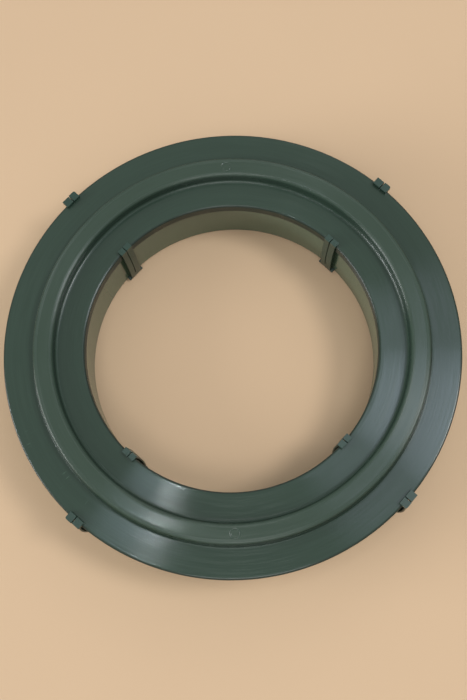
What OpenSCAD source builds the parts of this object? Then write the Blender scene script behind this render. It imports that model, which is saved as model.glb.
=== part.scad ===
// Wreath frame: a hollow plastic ring made of a deep base and a stepped cover. Eight forked strap
// clips, four round the outside and four in the hole, hold the cover down on the base.
// Millimetres, +Z up. The origin is the centre of the ring on the surface it stands on.

/* [Ring section, from the hole outwards] */
// Diameter of the hole through the ring, at the cover's inner rim
hole_d = 359; // [240:1:480]
// Width of the inner flange, from the inner rim to the foot of the steep wall
inner_flange_w = 36; // [24:0.5:60]
// Width taken by the steep wall inside the plateau
inner_step_w = 0.5; // [0.4:0.1:4]
// Width of the flat raised plateau
plateau_w = 23.5; // [17:0.5:45]
// Width taken by the sloping wall outside the plateau
outer_step_w = 3.5; // [2.5:0.1:8]
// Width of the outer flange, from the foot of the sloping wall to the outer rim
outer_flange_w = 36.5; // [24:0.5:60]

/* [Heights] */
// Height of both rims of the cover above the ground
rim_h = 88; // [50:1:140]
// Rise of the plateau above the rims
plateau_rise = 14; // [11:0.5:24]
// Dip of the inner flange's foot below the inner rim
inner_dip = 1; // [1:0.5:6]
// Height of the skirts that lap over the base's walls
skirt_h = 14; // [8:0.5:24]

/* [Shells] */
// Wall of the cover
cover_wall = 2.2; // [1.6:0.1:3]
// Wall and floor of the base
base_wall = 2.4; // [1.8:0.1:3.6]
// Radial gap between a skirt and the base's wall
skirt_gap = 0.4; // [0.3:0.1:1]
// Radius of the cover's rims and of the plateau's outer edge
edge_r = 2.8; // [2.3:0.1:4]
// Radius of the plateau's inner edge
inner_edge_r = 4.4; // [2.3:0.1:5]
// Radius of the base's bottom edges
foot_r = 5; // [4:0.5:9]
// Width of the flat land that runs round the inner rim
land_w = 6; // [5:0.5:10]
// Diameter of the two gate marks on the plateau
gate_d = 13; // [8:0.5:15]
// Depth of the groove round a gate mark
gate_depth = 0.4; // [0.2:0.1:0.8]

/* [Clips] */
// Width of a clip's strap
strap_w = 16.6; // [12:0.2:24]
// Thickness of the strap
strap_t = 1.8; // [1.2:0.1:2.6]
// How far an inner clip's strap bows away from the line between its ends
strap_bow = 2.2; // [1:0.2:6]
// How far an outer clip's strap bows
outer_strap_bow = 4; // [1:0.2:6]
// Width of an outer clip's head
head_w = 20.8; // [18:0.2:30]
// Width of an inner clip's head
inner_head_w = 17.6; // [17:0.2:26]
// Height of the head above the rim
head_h = 5.5; // [4:0.5:9]
// Reach of an outer clip's head over the flange
head_in = 5.5; // [4:0.5:9]
// Reach of an outer clip's head beyond the rim
head_out = 4.6; // [4:0.2:9]
// Reach of an inner clip's head over the flange
inner_head_in = 4.8; // [4:0.2:9]
// Reach of an inner clip's head into the hole
inner_head_out = 3; // [2.8:0.2:6]
// Width of the slit that forks the strap in two
slit_w = 1.2; // [0.8:0.1:2]
// Height of the solid foot below the slit
fork_foot_h = 18; // [13:1:30]

/* [Clip pivots] */
// Diameter of the pin that a clip turns on
pin_d = 2.4; // [2:0.1:4]
// Radial running clearance on the pin
pin_gap = 0.1; // [0.05:0.01:0.1]
// Wall of the barrel round the pin
barrel_wall = 1.2; // [1:0.1:2.4]
// Thickness of the two lugs that carry the pin
lug_t = 3; // [2:0.5:5]
// Gap between the clip and each lug
lug_gap = 0.4; // [0.3:0.1:1]
// Clearance of a closed clip from the rim it stands against
rim_clear = 0.8; // [0.7:0.1:1.5]
// Clearance of the head above the flange
head_clear = 0.4; // [0.3:0.1:1]
// Clearance of the barrel from the base's wall
wall_clear = 0.5; // [0.5:0.1:1.5]
// Clearance of the barrel above the ground
ground_clear = 2.4; // [2:0.1:5]

/* [Hidden] */
$fn = 96;
shell_green = "#3e4a42";
base_green = "#3a463e";
clip_green = "#4f625c";

// The clip stations: the clips aren't spaced quite evenly, and the two rings of them differ a little
outer_angles = [45.5, 135.5, 228, 316];
inner_angles = [44.5, 136, 227, 316.5];
gate_angles = [90, 270];

// Radii of the section, from the hole outwards
hole_r = hole_d / 2;
inner_foot_r = hole_r + inner_flange_w;
plateau_in_r = inner_foot_r + inner_step_w;
plateau_out_r = plateau_in_r + plateau_w;
outer_foot_r = plateau_out_r + outer_step_w;
rim_r = outer_foot_r + outer_flange_w;
top_h = rim_h + plateau_rise;

// The base's walls stand just inside the skirts, and reach up to the underside of the cover
base_out_r = rim_r - cover_wall - skirt_gap;
base_in_r = hole_r + cover_wall + skirt_gap;
base_h = rim_h - cover_wall;

// Inner corners of the cover's walls
root_r = 1.6;
inner_root_r = 3;

// A clip's own frame: x is the distance out from the rim, y runs along the rim
wall_x = -(cover_wall + skirt_gap);
barrel_r = pin_d / 2 + pin_gap + barrel_wall;
pivot_x = wall_x + wall_clear + barrel_r;
pivot_z = ground_clear + barrel_r;
strap_foot_x = pivot_x + barrel_r - strap_t / 2;
strap_top_x = rim_clear + strap_t / 2;
head_z = rim_h + head_clear;
head_top = rim_h + head_h;
neck_h = 4.5;            // how far the head's outer side runs down the strap
neck_step = 1;           // how far that outer side stands proud of the strap
slit_y = -0.5;           // the slit is a little off the middle
corner_r = 3.4;          // round corner of the narrower prong
head_chamfer = 1.1;
snap_w = pin_d * 0.85;   // mouth through which the barrel snaps on to the pin

// Unit vector from one point to the next
function unit(v) = v / norm(v);

// The crossing of two lines, each given by a point and a direction
function cross_2d(a, b) = a[0] * b[1] - a[1] * b[0];
function meet(p, d, q, e) = p + d * (cross_2d(q - p, e) / cross_2d(d, e));

// A path moved sideways by a distance, to the left of its direction
function left(d) = [-d[1], d[0]];
function beside(p, gap) = [for (i = [0:len(p) - 1])
    i == 0 ? p[0] + left(unit(p[1] - p[0])) * gap
    : i == len(p) - 1 ? p[i] + left(unit(p[i] - p[i - 1])) * gap
    : let (d = unit(p[i] - p[i - 1]), e = unit(p[i + 1] - p[i]))
        abs(cross_2d(d, e)) < 0.001 ? p[i] + left(d) * gap
        : meet(p[i] + left(d) * gap, d, p[i] + left(e) * gap, e)];

// The turn at a corner of a path, positive to the left
function turn(p, i) = let (d = unit(p[i] - p[i - 1]), e = unit(p[i + 1] - p[i]))
    atan2(cross_2d(d, e), d * e);

// The points of the arc that rounds a corner
arc_steps = 5;
function arc_points(p, i, r) = let (
        d = unit(p[i] - p[i - 1]),
        a = turn(p, i),
        side = sign(a),
        start = p[i] - d * r * tan(abs(a) / 2),
        centre = start + left(d) * side * r)
    [for (k = [0:arc_steps]) let (b = a * k / arc_steps, n = (start - centre))
        centre + [n[0] * cos(b) - n[1] * sin(b), n[0] * sin(b) + n[1] * cos(b)]];

// A path with each inner corner rounded by its own radius
function rounded(p, radii) = [
    p[0],
    for (i = [1:len(p) - 2]) each (radii[i] > 0 ? arc_points(p, i, radii[i]) : [p[i]]),
    p[len(p) - 1]];

// Radii for the far side of a wall: a left turn has the wall inside it
function far_radii(p, radii, wall) = [for (i = [0:len(p) - 1])
    i == 0 || i == len(p) - 1 ? 0
    : turn(p, i) > 0 ? max(radii[i] - wall, 0.3) : radii[i] + wall];

function reversed(p) = [for (i = [len(p) - 1:-1:0]) p[i]];

// The outline of a wall that lies to the left of a path
function wall_outline(p, radii, wall) =
    concat(rounded(p, radii), reversed(rounded(beside(p, wall), far_radii(p, radii, wall))));

// Top surface of the cover, from the outer skirt over the plateau to the inner skirt
cover_path = [
    [rim_r, rim_h - skirt_h],
    [rim_r, rim_h],
    [outer_foot_r, rim_h],
    [plateau_out_r, top_h],
    [plateau_in_r, top_h],
    [inner_foot_r, rim_h - inner_dip],
    [hole_r + land_w, rim_h],
    [hole_r, rim_h],
    [hole_r, rim_h - skirt_h]];
cover_radii = [0, edge_r, root_r, edge_r, inner_edge_r, inner_root_r, root_r, edge_r, 0];

module cover_ring() {
    color(shell_green) difference() {
        rotate_extrude() polygon(wall_outline(cover_path, cover_radii, cover_wall));
        for (a = gate_angles) rotate([0, 0, a]) gate_groove();
    }
}

// Fine circular groove that the gate leaves on the plateau
module gate_groove() {
    translate([(plateau_in_r + plateau_out_r) / 2, 0, top_h - gate_depth])
        difference() {
            cylinder(h = gate_depth + 1, d = gate_d);
            translate([0, 0, -1]) cylinder(h = gate_depth + 3, d = gate_d - 1.6);
        }
}

// Outside of the base, from the inner wall's top round the floor to the outer wall's top
base_path = [
    [base_in_r, base_h],
    [base_in_r, 0],
    [base_out_r, 0],
    [base_out_r, base_h]];
base_radii = [0, foot_r, foot_r, 0];

module base_ring() {
    color(base_green) union() {
        rotate_extrude() polygon(wall_outline(base_path, base_radii, base_wall));
        for (a = outer_angles) outside(a) clip_pivot();
        for (a = inner_angles) in_hole(a) clip_pivot();
    }
}

// Places a clip's own frame against the outer rim, or against the rim of the hole
module outside(a) {
    rotate([0, 0, a]) translate([rim_r, 0, 0]) children();
}
module in_hole(a) {
    rotate([0, 0, a]) translate([hole_r, 0, 0]) rotate([0, 0, 180]) children();
}

// Two lugs on the base's wall, with the pin between them
module clip_pivot() {
    lug_y = strap_w / 2 + lug_gap;
    for (s = [-1, 1])
        translate([0, s * (lug_y + lug_t / 2), 0]) lug();
    translate([pivot_x, 0, pivot_z]) rotate([90, 0, 0])
        cylinder(h = 2 * lug_y + lug_t, d = pin_d, center = true);
}

module lug() {
    root = base_wall / 2;
    rotate([90, 0, 0]) linear_extrude(height = lug_t, center = true) union() {
        translate([pivot_x, pivot_z]) circle(r = barrel_r);
        translate([wall_x - root, pivot_z - barrel_r])
            square([pivot_x - wall_x + root, 2 * barrel_r]);
    }
}

// Middle line of the strap: a shallow bow between the barrel and the rim
bow_steps = 16;
strap_z0 = pivot_z;
strap_z1 = head_z + 0.5;
function strap_x(t, bow) = strap_foot_x + (strap_top_x - strap_foot_x) * t + 4 * bow * t * (1 - t);
function strap_line(bow) = [for (k = [0:bow_steps]) let (t = k / bow_steps)
    [strap_x(t, bow), strap_z0 + (strap_z1 - strap_z0) * t]];

// One clip: a barrel on the pin, a forked strap bowed away from the wall, and a head of two prongs
// that reaches over the flange (reach_in) and beyond the rim (reach_out)
module clip(bow, width, reach_in, reach_out) {
    line = strap_line(bow);
    difference() {
        union() {
            rotate([90, 0, 0]) linear_extrude(height = strap_w, center = true)
                polygon(concat(beside(line, strap_t / 2), reversed(beside(line, -strap_t / 2))));
            translate([pivot_x, 0, pivot_z]) rotate([90, 0, 0])
                cylinder(h = strap_w, r = barrel_r, center = true);
            head(width, reach_in, reach_out);
        }
        translate([pivot_x, 0, pivot_z]) rotate([90, 0, 0])
            cylinder(h = strap_w + 2, d = pin_d + 2 * pin_gap, center = true);
        translate([pivot_x - barrel_r - 1, -strap_w / 2 - 1, pivot_z - snap_w / 2])
            cube([barrel_r + 1, strap_w + 2, snap_w]);
        translate([-reach_in - 1, slit_y - slit_w / 2, fork_foot_h])
            cube([reach_in + reach_out + 4 * bow + strap_t + 2, slit_w, head_top]);
    }
}

// The head is its side outline, trimmed to the plan outlines of the two prongs
module head(width, reach_in, reach_out) {
    intersection() {
        rotate([90, 0, 0]) linear_extrude(height = width + 2, center = true) polygon([
            [-reach_in, head_z],
            [rim_clear, head_z],
            [rim_clear, head_z - neck_h],
            [min(rim_clear + strap_t + neck_step, reach_out), head_z - neck_h],
            [reach_out, head_z],
            [reach_out, head_top - head_chamfer],
            [reach_out - head_chamfer, head_top],
            [head_chamfer - reach_in, head_top],
            [-reach_in, head_top - head_chamfer]]);
        union() {
            square_prong(width, reach_in, reach_out);
            round_prong(width, reach_in, reach_out);
        }
    }
}

module square_prong(width, reach_in, reach_out) {
    translate([-reach_in, slit_y, head_z - neck_h - 1])
        cube([reach_in + reach_out - 0.6, width / 2 - slit_y, neck_h + head_h + 2]);
}

module round_prong(width, reach_in, reach_out) {
    across = width / 2 + slit_y;
    translate([0, 0, head_z - neck_h - 1]) linear_extrude(height = neck_h + head_h + 2) union() {
        translate([-reach_in + 0.5, -width / 2])
            square([reach_in + reach_out - 0.5 - corner_r, across]);
        translate([-reach_in + 0.5, -width / 2 + corner_r])
            square([reach_in + reach_out - 0.5, across - corner_r]);
        translate([reach_out - corner_r, corner_r - width / 2]) circle(r = corner_r);
    }
}

module outer_clip(number) {
    color(clip_green) outside(outer_angles[number - 1])
        clip(outer_strap_bow, head_w, head_in, head_out);
}
module inner_clip(number) {
    color(clip_green) in_hole(inner_angles[number - 1])
        clip(strap_bow, inner_head_w, inner_head_in, inner_head_out);
}

cover_ring();
base_ring();
outer_clip(1);  // outer_clip_1
outer_clip(2);  // outer_clip_2
outer_clip(3);  // outer_clip_3
outer_clip(4);  // outer_clip_4
inner_clip(1);  // inner_clip_1
inner_clip(2);  // inner_clip_2
inner_clip(3);  // inner_clip_3
inner_clip(4);  // inner_clip_4
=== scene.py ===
"""A moulded plastic wreath frame: a stepped cover ring on a deep base ring, held down by eight forked
snap clips. The sizes are in metres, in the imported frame's own axes: +Z up, and the origin is the centre
of the ring on the surface it stands on."""

import contextlib
import math

import bmesh
import bpy
from bpy.props import FloatProperty, FloatVectorProperty, IntProperty, PointerProperty
from mathutils import Matrix, Vector


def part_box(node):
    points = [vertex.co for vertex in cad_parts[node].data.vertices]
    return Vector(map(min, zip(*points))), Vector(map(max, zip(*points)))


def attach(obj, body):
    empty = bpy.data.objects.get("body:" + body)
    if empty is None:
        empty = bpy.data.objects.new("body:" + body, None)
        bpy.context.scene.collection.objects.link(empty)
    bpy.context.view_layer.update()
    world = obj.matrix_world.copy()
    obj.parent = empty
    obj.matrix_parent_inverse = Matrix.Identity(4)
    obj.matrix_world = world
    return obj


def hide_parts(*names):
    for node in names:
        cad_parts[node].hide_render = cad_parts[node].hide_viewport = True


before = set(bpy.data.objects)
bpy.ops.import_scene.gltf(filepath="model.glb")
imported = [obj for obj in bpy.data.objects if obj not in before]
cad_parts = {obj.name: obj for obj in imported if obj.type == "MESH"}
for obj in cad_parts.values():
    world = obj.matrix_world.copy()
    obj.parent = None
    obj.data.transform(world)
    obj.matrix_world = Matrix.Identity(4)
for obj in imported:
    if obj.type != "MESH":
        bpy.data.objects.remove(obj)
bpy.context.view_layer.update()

bl_info = {
    "name": "Wreath frame",
    "version": (1, 0, 0),
    "blender": (4, 5, 0),
    "location": "View3D > Sidebar > Wreath frame",
    "description": "Builds a plastic wreath frame with a stepped cover, a deep base and snap clips",
    "category": "Add Mesh",
}

MM = 0.001
# places round the ring, in degrees; the clips aren't spaced quite evenly
STATIONS = {"outer": (45.5, 135.5, 228, 316), "inner": (44.5, 136, 227, 316.5)}
GATES = (90, 270)
COVER_LOW, COVER_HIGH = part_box("cover_ring")
BASE_LOW, BASE_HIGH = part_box("base_ring")


def inner_radius(node):
    """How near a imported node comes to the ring's axis."""
    return min(v.co.xy.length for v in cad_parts[node].data.vertices)


# ---------------------------------------------------------------- sizes and colours a user would change

def length(name, description, default):
    return FloatProperty(name=name, description=description, default=default, min=0, precision=4,
                         subtype="DISTANCE", unit="LENGTH")


def colour(name, description, default):
    return FloatVectorProperty(name=name, description=description, default=default, min=0, max=1,
                               size=3, subtype="COLOR")


def angle(name, description, degrees):
    return FloatProperty(name=name, description=description, default=math.radians(degrees),
                         subtype="ANGLE", unit="ROTATION")


class WreathRingSizes(bpy.types.PropertyGroup):
    """The section of the cover and the base, from the outer rim to the rim of the hole."""
    rim_radius: length("Outer rim", "Radius of the cover's outer rim", COVER_HIGH.x)
    hole_radius: length("Hole", "Radius of the hole at the cover's inner rim",
                        inner_radius("cover_ring"))
    top_height: length("Height", "Height of the plateau above the ground", COVER_HIGH.z)
    plateau_rise: length("Plateau rise", "Rise of the plateau above both rims", 14 * MM)
    skirt: length("Skirt", "Height of the skirts that lap over the base", 14 * MM)
    outer_flange: length("Outer flange", "Width of the outer flange", 36.5 * MM)
    outer_step: length("Outer step", "Width of the sloping wall outside the plateau", 3.5 * MM)
    inner_step: length("Inner step", "Width of the steep wall inside the plateau", 0.5 * MM)
    inner_flange: length("Inner flange", "Width of the inner flange", 36 * MM)
    inner_dip: length("Inner dip", "Dip of the inner flange's foot below the rim", 1 * MM)
    land: length("Land", "Width of the flat land round the inner rim", 6 * MM)
    cover_wall: length("Cover wall", "Wall of the cover", 2.2 * MM)
    edge: length("Edge radius", "Radius of the rims and of the plateau's outer edge", 2.8 * MM)
    inner_edge: length("Inner edge radius", "Radius of the plateau's inner edge", 4.4 * MM)
    inner_root: length("Inner root radius", "Radius at the foot of the steep wall", 3 * MM)
    base_wall: length("Base wall", "Wall and floor of the base", 2.4 * MM)
    foot: length("Foot radius", "Radius of the base's bottom edges", 5 * MM)
    skirt_gap: length("Skirt gap", "Gap between a skirt and the base's wall", 0.4 * MM)
    gate: length("Gate mark", "Diameter of a gate mark on the plateau", 13 * MM)
    gate_depth: length("Gate groove", "Depth of the groove round a gate mark", 0.4 * MM)
    segments: IntProperty(name="Segments", description="Steps in the ring's turn", default=288, min=64)


class WreathClipSizes(bpy.types.PropertyGroup):
    """The outer and the inner snap clips and the pivots they turn on."""
    strap_width: length("Strap width", "Width of the strap", 16.6 * MM)
    strap_thickness: length("Strap thickness", "Thickness of the strap", 1.8 * MM)
    bow: length("Outer bow", "How far an outer clip's strap bows out between its ends", 4 * MM)
    inner_bow: length("Inner bow", "How far an inner clip's strap bows out between its ends", 2.2 * MM)
    slit: length("Slit", "Width of the slit that forks the strap", 1.2 * MM)
    fork_foot: length("Fork foot", "Height of the solid foot below the slit", 18 * MM)
    head_width: length("Head width", "Width of an outer clip's head along the rim", 20.8 * MM)
    head_height: length("Head height", "Height of the head above the rim", 5.5 * MM)
    head_in: length("Head reach over the flange", "Reach of an outer clip's head over the flange",
                    5.5 * MM)
    head_out: length("Head reach past the rim", "Reach of an outer clip's head beyond the rim", 4.6 * MM)
    inner_head_width: length("Inner head width", "Width of an inner clip's head along the rim",
                             17.6 * MM)
    inner_head_in: length("Inner head reach over the flange",
                          "Reach of an inner clip's head over the flange", 4.8 * MM)
    inner_head_out: length("Inner head reach past the rim",
                           "Reach of an inner clip's head into the hole", 3 * MM)
    pin_radius: length("Pin", "Radius of the pin that the clip turns on", 1.2 * MM)
    pin_gap: length("Pin gap", "Running clearance on the pin", 0.1 * MM)
    barrel_wall: length("Barrel wall", "Wall of the barrel round the pin", 1.2 * MM)
    lug: length("Lug", "Thickness of the two lugs that carry the pin", 3 * MM)
    lug_gap: length("Lug gap", "Gap between the clip and each lug", 0.4 * MM)
    rim_gap: length("Rim gap", "Clearance of a closed clip from the rim", 0.8 * MM)
    head_gap: length("Head gap", "Clearance of the head above the flange", 0.4 * MM)
    wall_gap: length("Wall gap", "Clearance of the barrel from the base", 0.5 * MM)
    ground_gap: length("Ground gap", "Clearance of the barrel above the ground", 2.4 * MM)
    neck: length("Neck", "Height of the straight neck below the head", 4.5 * MM)
    mouth: FloatProperty(name="Mouth", description="Barrel's mouth, as a share of the pin's diameter",
                         default=0.85, min=0.5, max=1)


class WreathFinish(bpy.types.PropertyGroup):
    """Colours of the three mouldings and of the ground."""
    cover: colour("Cover", "Colour of the cover's plastic", (0.0285, 0.0525, 0.0365))
    base: colour("Base", "Colour of the base's plastic", (0.080, 0.125, 0.082))
    clips: colour("Clips", "Colour of the clips' plastic", (0.020, 0.048, 0.034))
    ground: colour("Ground", "Colour of the pale ground", (0.65, 0.463, 0.297))


class WreathStage(bpy.types.PropertyGroup):
    """Where the camera stands and where it looks."""
    camera_distance: length("Distance", "Distance from the camera to its target", 1.094)
    target_x: FloatProperty(name="Target X", description="Where the camera looks, off the ring's axis",
                            default=2.9 * MM, precision=4, subtype="DISTANCE", unit="LENGTH")
    target_y: FloatProperty(name="Target Y", description="Where the camera looks, off the ring's axis",
                            default=-8.2 * MM, precision=4, subtype="DISTANCE", unit="LENGTH")
    camera_tilt: angle("Tilt", "How far the camera stands off the ring's axis", 14.52)
    camera_azimuth: angle("Azimuth", "Where the camera stands round the ring, from +X", -83.6)
    camera_roll: angle("Roll", "Turn of the ring within the picture", 1.4)
    lens: FloatProperty(name="Lens", description="Focal length", default=46.29, min=1, unit="CAMERA")


# ---------------------------------------------------------------- modelling by hand, in code

def deselect():
    bpy.ops.object.select_all(action="DESELECT")


def take(*pieces):
    """Selects these objects alone; the first is the active one."""
    deselect()
    for piece in pieces:
        piece.select_set(True)
    bpy.context.view_layer.objects.active = pieces[0]
    return pieces[0]


@contextlib.contextmanager
def editing(piece):
    """Edit mode on one piece, which starts with nothing selected."""
    take(piece)
    bpy.ops.object.mode_set(mode="EDIT")
    bpy.ops.mesh.select_all(action="DESELECT")
    yield piece
    bpy.ops.object.mode_set(mode="OBJECT")


def select(piece, kind, wanted):
    """Selects, in edit mode, the vertices, edges or faces that a test wants, and nothing else."""
    bpy.ops.mesh.select_all(action="DESELECT")
    bpy.ops.mesh.select_mode(type={"verts": "VERT", "edges": "EDGE", "faces": "FACE"}[kind])
    mesh = bmesh.from_edit_mesh(piece.data)
    hits = [item for item in getattr(mesh, kind) if wanted(item)]
    if not hits:
        raise RuntimeError(f"{piece.name}: no {kind} are where the next step needs them")
    for item in hits:
        item.select_set(True)
    mesh.select_flush_mode()
    bmesh.update_edit_mesh(piece.data)


def facing(direction, tolerance=0.05):
    """A test for faces that look along a direction."""
    ahead = Vector(direction)
    return lambda face: (face.normal - ahead).length < tolerance


def extrude(x=0.0, y=0.0, z=0.0):
    bpy.ops.mesh.extrude_region_move(TRANSFORM_OT_translate={"value": (x, y, z)})


def modify(piece, kind, **settings):
    """Adds a modifier and applies it."""
    take(piece)
    bpy.ops.object.modifier_add(type=kind)
    modifier = piece.modifiers[-1]
    for name, value in settings.items():
        setattr(modifier, name, value)
    bpy.ops.object.modifier_apply(modifier=modifier.name)


def carve(piece, tool, operation="DIFFERENCE"):
    """Cuts or joins a tool piece, which is then gone."""
    modify(piece, "BOOLEAN", operation=operation, object=tool, solver="EXACT")
    bpy.data.objects.remove(tool)


def copy_of(piece, name):
    """A copy with its own mesh."""
    take(piece)
    bpy.ops.object.duplicate(linked=False)
    twin = bpy.context.view_layer.objects.active
    twin.name = name
    return twin


def settle(piece):
    """Leaves the piece's place in its mesh and its object at the origin."""
    take(piece)
    bpy.ops.object.transform_apply(location=True, rotation=True, scale=True)


def soften(piece, width, segments=2, above=30):
    """Rounds the edges that are sharper than an angle in degrees."""
    modify(piece, "BEVEL", width=width, segments=segments, limit_method="ANGLE",
           angle_limit=math.radians(above), use_clamp_overlap=True)


def smooth(piece, above=38):
    """Smooth shading that keeps flat faces flat and true edges crisp."""
    take(piece)
    bpy.ops.object.shade_smooth_by_angle(angle=math.radians(above))
    modify(piece, "WEIGHTED_NORMAL", mode="FACE_AREA", weight=60, keep_sharp=True)


def finish_piece(piece, material, body, slot, *nodes):
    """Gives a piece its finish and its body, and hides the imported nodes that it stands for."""
    piece.data.materials.clear()
    piece.data.materials.append(material)
    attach(piece, body)
    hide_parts(*nodes)


def turn_at(outline, i):
    """The turn at a corner of a closed outline, in radians without a sign."""
    before = outline[i] - outline[i - 1]
    after = outline[(i + 1) % len(outline)] - outline[i]
    return abs(before.angle_signed(after))


def lathe(name, corners, segments):
    """Turns a closed section round the ring's axis. A corner is (radius, height, rounding): a point is
    extruded from corner to corner, the line is closed, its corners are rounded, and it is spun."""
    outline = [Vector(corner[:2]) for corner in corners]
    bpy.ops.mesh.primitive_plane_add(size=MM)
    piece = bpy.context.object
    piece.name = piece.data.name = name
    with editing(piece):
        bpy.ops.mesh.select_all(action="SELECT")
        bpy.ops.mesh.merge(type="CENTER")
        bpy.ops.transform.translate(value=(outline[0].x, 0, outline[0].y))
        for here, there in zip(outline, outline[1:]):
            extrude(x=there.x - here.x, z=there.y - here.y)
        select(piece, "verts", lambda v: len(v.link_edges) == 1)
        bpy.ops.mesh.edge_face_add()
        for i, (radius, height, rounding) in enumerate(corners):
            if rounding:
                corner = Vector((radius, 0, height))
                turn = turn_at(outline, i)
                select(piece, "verts", lambda v: (v.co - corner).length < 0.01 * MM)
                bpy.ops.mesh.bevel(affect="VERTICES", offset=rounding * math.tan(turn / 2),
                                   segments=max(2, round(math.degrees(turn) / 12)))
        bpy.ops.mesh.select_all(action="SELECT")
        bpy.ops.mesh.spin(steps=segments, angle=math.tau, center=(0, 0, 0), axis=(0, 0, 1),
                          use_auto_merge=True)
        bpy.ops.mesh.select_all(action="SELECT")
        bpy.ops.mesh.remove_doubles(threshold=0.001 * MM)
        bpy.ops.mesh.normals_make_consistent(inside=False)
    return piece


def place(piece, family, degrees, ring):
    """Moves a piece from the clip's own frame to a station on the outer rim or in the hole."""
    turn = Matrix.Rotation(math.radians(degrees), 4, "Z")
    if family == "outer":
        piece.matrix_world = turn @ Matrix.Translation((ring.rim_radius, 0, 0))
    else:
        piece.matrix_world = (turn @ Matrix.Translation((ring.hole_radius, 0, 0))
                              @ Matrix.Rotation(math.pi, 4, "Z"))
    settle(piece)


# ---------------------------------------------------------------- shader maths

class Signal:
    """A node's output. Python's operators on it add the Math nodes."""

    def __init__(self, tree, socket):
        self.tree = tree
        self.socket = socket

    def math(self, operation, *values):
        node = self.tree.nodes.new("ShaderNodeMath")
        node.operation = operation
        for slot, value in zip(node.inputs, values):
            if isinstance(value, Signal):
                self.tree.links.new(value.socket, slot)
            else:
                slot.default_value = value
        return Signal(self.tree, node.outputs[0])

    def __add__(self, other):
        return self.math("ADD", self, other)

    def __radd__(self, other):
        return self.math("ADD", other, self)

    def __sub__(self, other):
        return self.math("SUBTRACT", self, other)

    def __rsub__(self, other):
        return self.math("SUBTRACT", other, self)

    def __mul__(self, other):
        return self.math("MULTIPLY", self, other)

    def __truediv__(self, other):
        return self.math("DIVIDE", self, other)

    def __pow__(self, other):
        return self.math("POWER", self, other)

    def __abs__(self):
        return self.math("ABSOLUTE", self)

    def within(self, low, high):
        """0 below low and 1 above high, with a smooth rise between them."""
        node = self.tree.nodes.new("ShaderNodeMapRange")
        node.interpolation_type = "SMOOTHSTEP"
        self.tree.links.new(self.socket, node.inputs["Value"])
        node.inputs["From Min"].default_value = low
        node.inputs["From Max"].default_value = high
        return Signal(self.tree, node.outputs["Result"])


class Shading:
    """A node tree in the making."""

    def __init__(self, owner, coordinates):
        owner.use_nodes = True
        self.tree = owner.node_tree
        self.tree.nodes.clear()
        self.place = self.node("ShaderNodeTexCoord", output=coordinates)
        self.x, self.y, self.z = (self.node("ShaderNodeSeparateXYZ", inputs={0: self.place}, output=axis)
                                  for axis in "XYZ")

    def node(self, kind, settings=None, inputs=None, output=0):
        """Adds a node: its settings first, then its sockets' values or links. Returns one output."""
        node = self.tree.nodes.new(kind)
        for name, value in (settings or {}).items():
            setattr(node, name, value)
        for name, value in (inputs or {}).items():
            if isinstance(value, Signal):
                self.tree.links.new(value.socket, node.inputs[name])
            else:
                node.inputs[name].default_value = value
        return Signal(self.tree, node.outputs[output]) if node.outputs else None

    def vector(self, x, y, z):
        return self.node("ShaderNodeCombineXYZ", inputs={0: x, 1: y, 2: z})

    def noise(self, where, scale, detail=2.0, roughness=0.5):
        """Noise about 0.5, with features of about 1/scale."""
        return self.node("ShaderNodeTexNoise", inputs={"Vector": where, "Scale": scale, "Detail": detail,
                                                       "Roughness": roughness}, output="Fac")

    def blend(self, share, first, second):
        """A colour that goes from the first to the second."""
        return self.node("ShaderNodeMix", {"data_type": "RGBA", "clamp_factor": True},
                         {0: share, 6: first, 7: second}, output=2)


class Finish(Shading):
    """A material in the making, placed by the piece's own coordinates."""

    def __init__(self, name):
        self.material = bpy.data.materials.new(name)
        super().__init__(self.material, "Object")

    def shade(self, colour_in, roughness, height, lift, **constants):
        """Wires the plastic's shader; a height of 1 stands `lift` metres proud."""
        bump = self.node("ShaderNodeBump", inputs={"Strength": 1.0, "Distance": lift, "Height": height},
                         output="Normal")
        shader = self.node("ShaderNodeBsdfPrincipled",
                           inputs={"Base Color": colour_in, "Roughness": roughness, "Normal": bump}
                           | {name.replace("_", " "): value for name, value in constants.items()})
        self.node("ShaderNodeOutputMaterial", inputs={"Surface": shader})
        return self.material


def rgba(values, gain=1.0):
    return (*(min(1.0, v * gain) for v in values), 1.0)


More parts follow.
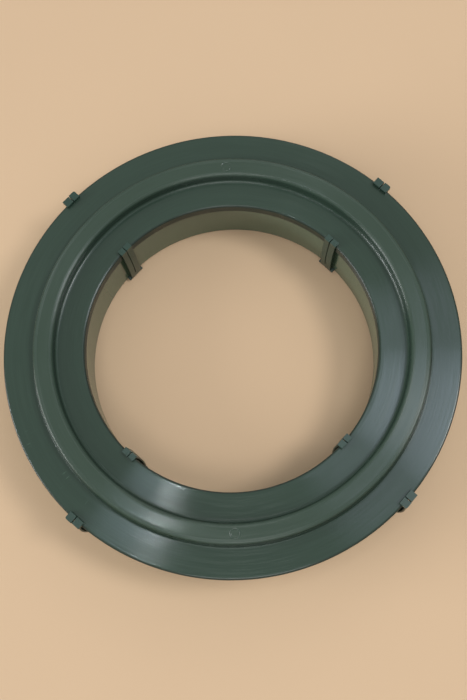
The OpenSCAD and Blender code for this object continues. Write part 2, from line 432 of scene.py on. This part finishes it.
def ring_plastic(name, green, ring, at):
    """Satin plastic turned round the ring's axis: fine concentric tool marks carry the shine across the
    flanges, the colour clouds a little, the plateau's edges are rubbed paler and both rims are painted
    dark as shade."""
    plateau_green = (0.055, 0.085, 0.058, 1.0)
    finish = Finish(name)
    radius = (finish.x * finish.x + finish.y * finish.y) ** 0.5
    across, along = finish.x / radius, finish.y / radius
    marks = finish.noise(finish.vector(radius * 480, across * 3.5, along * 3.5), 1.0, 3.0, 0.65)
    lines = marks.within(0.36, 0.64)
    clouds = finish.noise(finish.place, 9.0, 4.0, 0.6)
    grain = finish.noise(finish.place, 900.0, 2.0)
    patches = finish.noise(finish.place, 140.0, 3.0).within(0.42, 0.7)
    scuffs = scuff_marks(finish, radius, across, along)
    plateau = finish.z.within(ring.top_height - 3 * MM, ring.top_height)
    worn = 0.0
    level = 1.0  # 0 on the walls and rounded edges of the plateau, 1 on the flat faces
    for edge_radius in (at["plateau_out"], at["plateau_in"]):
        gap = abs(radius - edge_radius)
        level = gap.within(4 * MM, 6 * MM) * level
        near = (gap + abs(finish.z - ring.top_height)) / (1.6 * MM)
        worn = (1 - near.within(0.0, 1.0)) * patches + worn
    # painted shade: a band round each rim is painted dark and made duller, standing in for the shade on
    # the rims' rounded edges
    rim = (1 - radius.within(ring.hole_radius + MM, ring.hole_radius + 3 * MM)
           + radius.within(ring.rim_radius - 3 * MM, ring.rim_radius - MM))
    pale = finish.blend(lines * 0.5 + clouds * 0.6 - 0.25, rgba(green, 0.93), rgba(green, 1.08))
    pale = finish.blend(plateau * 0.27, pale, plateau_green)
    pale = finish.blend(worn * 0.22, pale, rgba(green, 2.1))
    pale = finish.blend(scuffs * 0.5, pale, rgba(green, 2.8))
    # the rims' painted shade
    pale = finish.blend(rim * 0.6, pale, rgba(green, 0.3))
    satin = lines * 0.08 + plateau * 0.05 + clouds * 0.02 + (1 - level) * 0.14
    roughness = satin + scuffs * 0.2 + rim * 0.2 + 0.06
    height = (lines * 0.5 + grain * (plateau * 0.3 + 0.06)) * level + scuffs * 0.24
    return finish.shade(pale, roughness, height, 0.03 * MM, Anisotropic=1.0, Anisotropic_Rotation=0.25)


def scuff_marks(finish, radius, across, along):
    """Short radial scratches on one side of the outer flange, where the ring slid against something."""
    spokes = finish.noise(finish.vector(across * 95, along * 95, radius * 22), 1.0, 2.0, 0.7)
    broken = finish.noise(finish.vector(across * 9, along * 9, radius * 60), 1.0, 3.0, 0.6)
    side = (across * -0.82 - along * 0.57).within(0.93, 0.985)
    flange = radius.within(0.247, 0.251) * (1 - radius.within(0.271, 0.276))
    return spokes.within(0.6, 0.72) * broken.within(0.5, 0.64) * side * flange


def wall_plastic(name, green):
    """Satin plastic drawn upwards from its mould: faint upright drag lines and a dusty foot."""
    dust = (0.16, 0.14, 0.11, 1.0)
    finish = Finish(name)
    drag = finish.noise(finish.vector(finish.x * 260, finish.y * 260, finish.z * 9), 1.0, 3.0, 0.6)
    clouds = finish.noise(finish.place, 12.0, 4.0, 0.6)
    grain = finish.noise(finish.place, 800.0, 2.0)
    foot = 1 - finish.z.within(0.0, 14 * MM)
    pale = finish.blend(drag * 0.5 + clouds * 0.6 - 0.25, rgba(green, 0.9), rgba(green, 1.12))
    pale = finish.blend(foot * clouds.within(0.35, 0.75) * 0.3, pale, dust)
    roughness = 0.09 + drag * 0.08 + foot * 0.12
    return finish.shade(pale, roughness, drag * 0.7 + grain * 0.3, 0.012 * MM)


def clip_plastic(name, green):
    """The clips' own plastic: a little bluer, with a fine grain and faint upright flow marks."""
    finish = Finish(name)
    grain = finish.noise(finish.place, 700.0, 3.0)
    clouds = finish.noise(finish.place, 60.0, 3.0, 0.6)
    flow = finish.noise(finish.vector(finish.x * 120, finish.y * 120, finish.z * 25), 1.0, 2.0)
    pale = finish.blend(clouds * 0.7 + flow * 0.5 - 0.2, rgba(green, 0.86), rgba(green, 1.18))
    roughness = 0.3 + clouds * 0.14
    return finish.shade(pale, roughness, grain * 0.6 + flow * 0.4, 0.015 * MM)


def ground_finish(name, pale):
    """The plain pale ground: matt paper with a barely mottled tone."""
    finish = Finish(name)
    mottle = finish.noise(finish.place, 3.0, 3.0, 0.55)
    tooth = finish.noise(finish.place, 500.0, 2.0)
    tone = finish.blend(mottle, rgba(pale, 0.975), rgba(pale, 1.02))
    return finish.shade(tone, 0.85 + tooth * 0.1, tooth, 0.05 * MM, Specular_IOR_Level=0.2)


# ---------------------------------------------------------------- the pieces

def section(ring):
    """Named radii and heights of the ring's section."""
    rim_height = ring.top_height - ring.plateau_rise
    outer_foot = ring.rim_radius - ring.outer_flange
    inner_foot = ring.hole_radius + ring.inner_flange
    return {
        "rim_height": rim_height,
        "outer_foot": outer_foot,
        "plateau_out": outer_foot - ring.outer_step,
        "plateau_in": inner_foot + ring.inner_step,
        "inner_foot": inner_foot,
    }


class WREATH_OT_add_cover(bpy.types.Operator):
    """Turns the cover's section round the axis and cuts the groove of each gate mark"""
    bl_idname = "wreath.add_cover"
    bl_label = "Cover ring"

    def execute(self, context):
        ring = context.scene.wreath_ring
        at = section(ring)
        cover = lathe("cover_shell", self.corners(ring, at), ring.segments)
        for degrees in GATES:
            carve(cover, self.gate_cutter(ring, at, degrees))
        smooth(cover)
        green = context.scene.wreath_finish.cover
        finish_piece(cover, ring_plastic("cover_plastic", green, ring, at),
                     "ring", "cover_plastic", "cover_ring")
        return {"FINISHED"}

    def corners(self, ring, at):
        """The top side from the outer skirt to the inner skirt, then the underside back again."""
        wall, edge, rim = ring.cover_wall, ring.edge, at["rim_height"]
        root, crisp, hem = 1.6 * MM, 0.5 * MM, 0.5 * MM
        top = [
            (ring.rim_radius, rim - ring.skirt, hem),
            (ring.rim_radius, rim, edge),
            (at["outer_foot"], rim, 0.3 * MM),
            (at["plateau_out"], ring.top_height, edge),
            (at["plateau_in"], ring.top_height, ring.inner_edge),
            (at["inner_foot"], rim - ring.inner_dip, ring.inner_root),
            (ring.hole_radius + ring.land, rim, root),
            (ring.hole_radius, rim, edge),
            (ring.hole_radius, rim - ring.skirt, hem)]
        under = [
            (ring.hole_radius + wall, rim - ring.skirt, hem),
            (ring.hole_radius + wall, rim - wall, crisp),
            (ring.hole_radius + ring.land, rim - wall, root),
            (at["inner_foot"] + wall, rim - ring.inner_dip - wall, ring.inner_root),
            (at["plateau_in"] + wall, ring.top_height - wall, wall),
            (at["plateau_out"] - wall * 0.8, ring.top_height - wall, crisp),
            (at["outer_foot"] - wall * 0.9, rim - wall, root),
            (ring.rim_radius - wall, rim - wall, crisp),
            (ring.rim_radius - wall, rim - ring.skirt, hem)]
        return top + under

    def gate_cutter(self, ring, at, degrees):
        """A thin hoop that sinks the circular groove of a gate mark."""
        wire = 1.6 * MM
        middle = (at["plateau_in"] + at["plateau_out"]) / 2
        a = math.radians(degrees)
        deselect()
        bpy.ops.mesh.primitive_torus_add(
            major_segments=56, minor_segments=14, major_radius=ring.gate / 2 - wire / 2,
            minor_radius=wire, location=(middle * math.cos(a), middle * math.sin(a),
                                         ring.top_height - ring.gate_depth + wire))
        hoop = bpy.context.object
        settle(hoop)
        return hoop


class WREATH_OT_add_base(bpy.types.Operator):
    """Turns the base's deep channel round the axis"""
    bl_idname = "wreath.add_base"
    bl_label = "Base ring"

    def execute(self, context):
        ring = context.scene.wreath_ring
        wall, foot, hem = ring.base_wall, ring.foot, 0.4 * MM
        outer = ring.rim_radius - ring.cover_wall - ring.skirt_gap
        inner = ring.hole_radius + ring.cover_wall + ring.skirt_gap
        top = ring.top_height - ring.plateau_rise - ring.cover_wall
        base = lathe("base_channel", [
            (inner, top, hem), (inner, 0, foot), (outer, 0, foot), (outer, top, hem),
            (outer - wall, top, hem), (outer - wall, wall, foot - wall),
            (inner + wall, wall, foot - wall), (inner + wall, top, hem)], ring.segments)
        smooth(base)
        finish_piece(base, wall_plastic("base_plastic", context.scene.wreath_finish.base),
                     "ring", "base_plastic", "base_ring")
        return {"FINISHED"}


def pivot_place(ring, clip):
    """Radius of the clip's barrel, and the pin's place (out from the rim, above the ground)."""
    barrel = clip.pin_radius + clip.pin_gap + clip.barrel_wall
    wall_face = -(ring.cover_wall + ring.skirt_gap)
    return barrel, wall_face + clip.wall_gap + barrel, clip.ground_gap + barrel


class WREATH_OT_add_pivots(bpy.types.Operator):
    """Models one pair of lugs with its pin and copies it to the eight stations"""
    bl_idname = "wreath.add_pivots"
    bl_label = "Clip pivots"

    def execute(self, context):
        ring, clip = context.scene.wreath_ring, context.scene.wreath_clip
        pivot = self.lugs_and_pin(ring, clip)
        material = bpy.data.materials["base_plastic"]
        for family, stations in STATIONS.items():
            for number, degrees in enumerate(stations, 1):
                piece = copy_of(pivot, f"{family}_pivot_{number}")
                place(piece, family, degrees, ring)
                smooth(piece)
                finish_piece(piece, material, "ring", "base_plastic", "base_ring")
        bpy.data.objects.remove(pivot)
        return {"FINISHED"}

    def lugs_and_pin(self, ring, clip):
        barrel, out, up = pivot_place(ring, clip)
        wall_face = -(ring.cover_wall + ring.skirt_gap)
        inside = clip.strap_width / 2 + clip.lug_gap
        lugs = [self.lug(barrel, out, up, wall_face - ring.base_wall / 2, side * (inside + clip.lug / 2),
                         clip.lug) for side in (-1, 1)]
        deselect()
        bpy.ops.mesh.primitive_cylinder_add(vertices=40, radius=clip.pin_radius,
                                            depth=2 * inside + clip.lug, location=(out, 0, up),
                                            rotation=(math.pi / 2, 0, 0))
        pin = bpy.context.object
        settle(pin)
        carve(lugs[0], pin, "UNION")
        carve(lugs[0], lugs[1], "UNION")
        return lugs[0]

    def lug(self, barrel, out, up, root, y, thickness):
        """A round eye, its wall side cut flat and drawn back into the base's wall."""
        deselect()
        bpy.ops.mesh.primitive_cylinder_add(vertices=40, radius=barrel, depth=thickness,
                                            location=(out, y, up), rotation=(math.pi / 2, 0, 0))
        lug = bpy.context.object
        settle(lug)
        with editing(lug):
            bpy.ops.mesh.select_all(action="SELECT")
            bpy.ops.mesh.bisect(plane_co=(out, y, up), plane_no=(1, 0, 0), use_fill=True,
                                clear_inner=True)
            select(lug, "faces", facing((-1, 0, 0)))
            extrude(x=root - out)
        soften(lug, 0.35 * MM)
        return lug


class WREATH_OT_add_clips(bpy.types.Operator):
    """Models an outer and an inner snap clip and copies each to its four stations"""
    bl_idname = "wreath.add_clips"
    bl_label = "Snap clips"

    def execute(self, context):
        ring, clip = context.scene.wreath_ring, context.scene.wreath_clip
        material = clip_plastic("clip_plastic", context.scene.wreath_finish.clips)
        shapes = {"outer": (clip.bow, clip.head_width, clip.head_in, clip.head_out),
                  "inner": (clip.inner_bow, clip.inner_head_width, clip.inner_head_in,
                            clip.inner_head_out)}
        for family, stations in STATIONS.items():
            model = self.clip(ring, clip, *shapes[family])
            for number, degrees in enumerate(stations, 1):
                piece = copy_of(model, f"{family}_clip_{number}_moulding")
                place(piece, family, degrees, ring)
                smooth(piece)
                node = f"{family}_clip_{number}"
                finish_piece(piece, material, node, "clip_plastic", node)
            bpy.data.objects.remove(model)
        return {"FINISHED"}

    def clip(self, ring, clip, bow, head_width, reach_in, reach_out):
        """The strap with its head, joined to the barrel that snaps on the pin."""
        barrel, out, up = pivot_place(ring, clip)
        strap = self.strap(ring, clip, bow)
        self.head(strap, ring, clip, head_width, reach_in, reach_out)
        tube = self.barrel(clip, barrel, out, up)
        carve(strap, tube, "UNION")
        carve(strap, self.pin_bore(clip, barrel, out, up))
        return strap

    def strap(self, ring, clip, bow):
        """A flat foot is extruded up along the bow; above the fork only the two fingers go on."""
        barrel, out, up = pivot_place(ring, clip)
        rim = ring.top_height - ring.plateau_rise
        foot_x = out + barrel - clip.strap_thickness / 2
        top_x = clip.rim_gap + clip.strap_thickness / 2
        top = rim + clip.head_gap
        neck = top - clip.neck

        def middle(height):
            t = (height - up) / (top + 0.5 * MM - up)
            return foot_x + (top_x - foot_x) * t + 4 * bow * t * (1 - t)

        deselect()
        bpy.ops.mesh.primitive_plane_add(size=1, location=(foot_x, 0, up))
        strap = bpy.context.object
        strap.name = strap.data.name = "clip_model"
        strap.scale = (clip.strap_thickness, clip.strap_width, 1)
        settle(strap)
        slit_low, slit_high = slit_sides(clip)
        climb = [up + (clip.fork_foot - up) * k / 3 for k in (1, 2, 3)]
        climb += [clip.fork_foot + (neck - clip.fork_foot) * k / 14 for k in range(1, 15)]
        climb += [top]
        with editing(strap):
            for y in (slit_low, slit_high):
                bpy.ops.mesh.select_all(action="SELECT")
                bpy.ops.mesh.bisect(plane_co=(0, y, 0), plane_no=(0, 1, 0))
            select(strap, "faces", lambda f: True)
            below = up
            for height in climb:
                if below == clip.fork_foot:
                    select(strap, "faces", lambda f: abs(f.calc_center_median().z - below) < 0.01 * MM
                           and not slit_low < f.calc_center_median().y < slit_high)
                extrude(x=middle(height) - middle(below), z=height - below)
                below = height
            extrude(z=rim + clip.head_height - below)
            bpy.ops.mesh.select_all(action="SELECT")
            bpy.ops.mesh.normals_make_consistent(inside=False)
        return strap

    def head(self, strap, ring, clip, width, reach_in, reach_out):
        """The fingers' ends are drawn in over the flange, out past the rim and out to both sides."""
        top = ring.top_height - ring.plateau_rise + clip.head_gap
        strap_face = clip.rim_gap + clip.strap_thickness
        neck = top - clip.neck
        slit_low, slit_high = slit_sides(clip)
        side = (width - clip.strap_width) / 2

        def at_head(face, floor=top):
            return face.calc_center_median().z > floor

        with editing(strap):
            select(strap, "faces", lambda f: facing((-1, 0, 0), 0.4)(f) and at_head(f))
            extrude(x=-reach_in - clip.rim_gap)
            for outer, wanted in ((reach_out - 0.6 * MM, lambda y: y > slit_high),
                                  (reach_out, lambda y: y < slit_low)):
                select(strap, "faces", lambda f: facing((1, 0, 0), 0.4)(f) and at_head(f, neck)
                       and wanted(f.calc_center_median().y))
                extrude(x=max(outer - strap_face, 0.1 * MM))
            for way in (-1, 1):
                select(strap, "faces", lambda f: facing((0, way, 0), 0.3)(f) and at_head(f)
                       and way * f.calc_center_median().y > clip.strap_width / 2 - 0.1 * MM)
                extrude(y=way * side)
            if reach_out > strap_face + MM:  # a wide overhang slopes back into the strap
                select(strap, "verts", lambda v: abs(v.co.z - neck) < 0.01 * MM
                       and v.co.x > strap_face + MM)
                bpy.ops.transform.translate(value=(-1.5 * MM, 0, 0))
            # the narrower prong's outer corner is round
            select(strap, "edges", lambda e: all(
                v.co.y < -width / 2 + 0.01 * MM and v.co.x > reach_out - 0.1 * MM for v in e.verts))
            bpy.ops.mesh.bevel(offset=3.2 * MM, segments=7, affect="EDGES")
            bpy.ops.mesh.select_all(action="SELECT")
            bpy.ops.mesh.remove_doubles(threshold=0.01 * MM)  # where the round uses up an edge
            bpy.ops.mesh.normals_make_consistent(inside=False)

    def barrel(self, clip, radius, out, up):
        """The eye, a hair narrower than the strap, so that their sides don't share a plane."""
        hair = 0.1 * MM
        deselect()
        bpy.ops.mesh.primitive_cylinder_add(vertices=48, radius=radius,
                                            depth=clip.strap_width - hair,
                                            location=(out, 0, up), rotation=(math.pi / 2, 0, 0))
        barrel = bpy.context.object
        settle(barrel)
        soften(barrel, 0.35 * MM)
        return barrel

    def pin_bore(self, clip, radius, out, up):
        """The bore and the mouth that snaps over the pin, as one cutter."""
        reach = clip.strap_width + 4 * MM
        deselect()
        bpy.ops.mesh.primitive_cylinder_add(vertices=48, radius=clip.pin_radius + clip.pin_gap,
                                            depth=reach, location=(out, 0, up),
                                            rotation=(math.pi / 2, 0, 0))
        bore = bpy.context.object
        settle(bore)
        mouth = clip.mouth * 2 * clip.pin_radius
        deselect()
        bpy.ops.mesh.primitive_cube_add(size=1, location=(out - radius, 0, up),
                                        scale=(2 * radius, reach - MM, mouth))
        gap = bpy.context.object
        settle(gap)
        carve(bore, gap, "UNION")
        return bore


def slit_sides(clip):
    """The slit's two sides; it lies half a millimetre off the strap's middle."""
    off = -0.5 * MM
    return off - clip.slit / 2, off + clip.slit / 2


# ---------------------------------------------------------------- ground, lamps and camera

LAMP_DISTANCE = 6.0
LAMPS = (
    # name, azimuth and tilt off the vertical in degrees, width and height in metres, watts, colour
    ("left_window", 192, 66, (4.6, 1.4), 80, (1, 1, 1)),
    ("left_strip", 190, 78, (3.6, 0.35), 140, (0.97, 1.0, 1.03)),
    ("right_softbox", 0, 35, (1.8, 1.8), 106, (1, 1, 1)),
    ("sheen_softbox", 20, 20, (1.4, 1.4), 13, (0.85, 1.0, 1.2)),
    ("back_fill", 38, 15, (2.1, 2.1), 11, (0.88, 1.0, 1.2)),
    ("back_softbox", 75, 52, (2.4, 2.4), 12, (1, 1, 1)),
    ("front_fill", 270, 25, (2.4, 2.4), 62, (1, 1, 1)),
    ("streak_lamp", 141.4, 7.75, (0.05, 0.05), 6.8, (0.92, 1.0, 1.0)),
    ("streak_fill", 157.5, 9, (0.5, 0.5), 3, (0.8, 1.0, 1.15)),
)


def polar(azimuth, tilt, distance):
    """A point seen from the origin at an azimuth from +X and a tilt off the vertical, in radians."""
    return distance * Vector((math.cos(azimuth) * math.sin(tilt), math.sin(azimuth) * math.sin(tilt),
                              math.cos(tilt)))


def facing_back(place, target, up):
    """The turn of a lamp or camera at a place that looks at a target."""
    back = (place - target).normalized()
    side = up.cross(back).normalized()
    return Matrix((side, back.cross(side), back)).transposed().to_euler()


class WREATH_OT_set_stage(bpy.types.Operator):
    """Lays the pale ground and sets up the soft lamps and the camera"""
    bl_idname = "wreath.set_stage"
    bl_label = "Ground, lamps and camera"

    def execute(self, context):
        ring, stage = context.scene.wreath_ring, context.scene.wreath_stage
        self.ground(context)
        middle = Vector((0, 0, ring.top_height - ring.plateau_rise))
        for name, azimuth, tilt, size, watts, tint in LAMPS:
            place = middle + polar(math.radians(azimuth), math.radians(tilt), LAMP_DISTANCE)
            deselect()
            bpy.ops.object.light_add(type="AREA", location=place,
                                     rotation=facing_back(place, middle, Vector((0, 0, 1))))
            lamp = context.object
            lamp.name = name
            lamp.data.shape = "ELLIPSE"
            lamp.data.size, lamp.data.size_y = size
            lamp.data.energy = watts
            lamp.data.color = tint
        self.camera(context, stage, middle)
        self.world(context)
        context.scene.view_settings.view_transform = "Standard"
        return {"FINISHED"}

    def ground(self, context):
        deselect()
        bpy.ops.mesh.primitive_grid_add(x_subdivisions=8, y_subdivisions=8, size=14)
        ground = context.object
        ground.name = "ground"
        ground.data.materials.append(ground_finish("ground_paper", context.scene.wreath_finish.ground))

    def camera(self, context, stage, middle):
        turn = stage.camera_roll
        target = middle + Vector((stage.target_x, stage.target_y, 0))
        place = target + polar(stage.camera_azimuth, stage.camera_tilt, stage.camera_distance)
        deselect()
        bpy.ops.object.camera_add(location=place, rotation=facing_back(
            place, target, Vector((math.sin(turn), math.cos(turn), 0))))
        camera = context.object
        camera.name = "camera"
        camera.data.sensor_width = 36
        camera.data.lens = stage.lens
        camera.data.clip_start = 0.01
        camera.data.clip_end = 60
        context.scene.camera = camera

    def world(self, context):
        """A plain pale room, darker towards the horizon."""
        horizon, overhead = 0.05, 0.5
        world = bpy.data.worlds.new("studio")
        context.scene.world = world
        room = Shading(world, "Generated")
        level = room.z.within(0.05, 0.6) * (overhead - horizon) + horizon
        light = room.node("ShaderNodeBackground", inputs={"Color": (1, 1, 1, 1), "Strength": level})
        room.node("ShaderNodeOutputWorld", inputs={"Surface": light})


# ---------------------------------------------------------------- add-on

class WREATH_PT_panel(bpy.types.Panel):
    """Lists the wreath frame's steps and sizes"""
    bl_idname = "WREATH_PT_panel"
    bl_label = "Wreath frame"
    bl_space_type = "VIEW_3D"
    bl_region_type = "UI"
    bl_category = "Wreath frame"

    def draw(self, context):
        layout = self.layout
        for operator in STEPS:
            layout.operator(operator.bl_idname)
        for name, group in GROUPS.items():
            box = layout.box()
            settings = getattr(context.scene, name)
            for prop in group.__annotations__:
                box.prop(settings, prop)


GROUPS = {
    "wreath_ring": WreathRingSizes,
    "wreath_clip": WreathClipSizes,
    "wreath_finish": WreathFinish,
    "wreath_stage": WreathStage,
}
STEPS = (WREATH_OT_add_cover, WREATH_OT_add_base, WREATH_OT_add_pivots, WREATH_OT_add_clips,
         WREATH_OT_set_stage)
CLASSES = (*GROUPS.values(), *STEPS, WREATH_PT_panel)


def register():
    for cls in CLASSES:
        bpy.utils.register_class(cls)
    for name, group in GROUPS.items():
        setattr(bpy.types.Scene, name, PointerProperty(type=group))


def unregister():
    for name in GROUPS:
        delattr(bpy.types.Scene, name)
    for cls in reversed(CLASSES):
        bpy.utils.unregister_class(cls)


def main():
    register()
    bpy.ops.wreath.add_cover()
    bpy.ops.wreath.add_base()
    bpy.ops.wreath.add_pivots()
    bpy.ops.wreath.add_clips()
    bpy.ops.wreath.set_stage()


if __name__ == "__main__":
    main()
